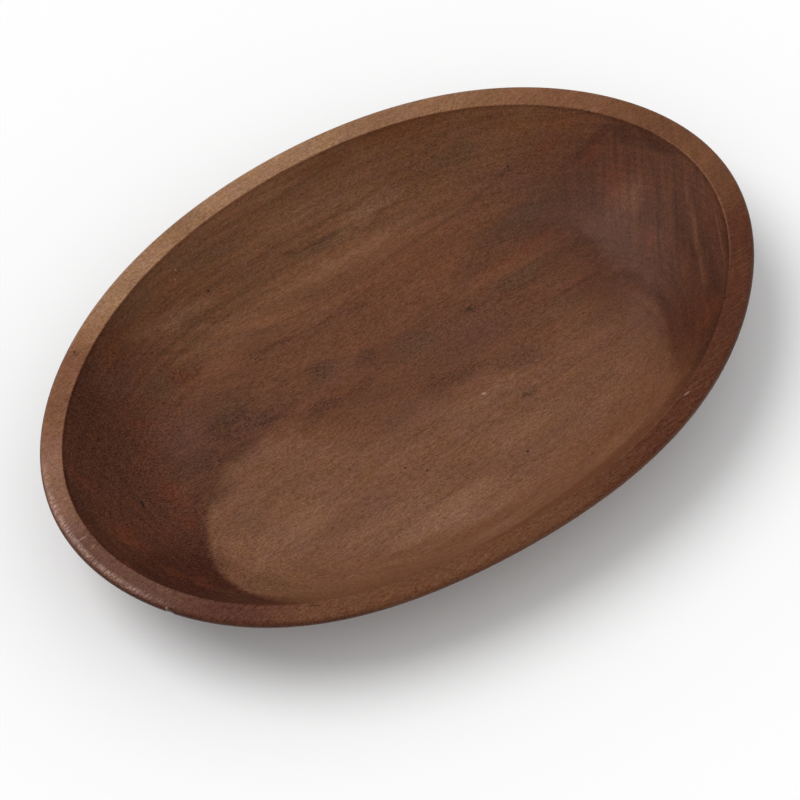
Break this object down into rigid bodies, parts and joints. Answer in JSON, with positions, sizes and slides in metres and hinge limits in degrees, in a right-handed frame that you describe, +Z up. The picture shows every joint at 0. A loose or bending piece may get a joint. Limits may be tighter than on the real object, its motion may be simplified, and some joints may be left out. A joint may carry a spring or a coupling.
{
  "type": "platter",
  "caption": "Shallow oval serving platter carved whole from a block of red-brown hardwood, with a deep hollow, a broad nearly flat rim and a flat oval base.",
  "frame": {"origin": "centre of the oval, on the plane of the flat base", "axes": "+X along the platter's length, +Y across its width, +Z up out of the hollow"},
  "size_m": [0.399, 0.2652, 0.05],
  "materials": {
    "oiled_hardwood": "satin, oiled"
  },
  "bodies": {
    "root": {"platter_body": "oiled_hardwood"}
  },
  "joints": []
}
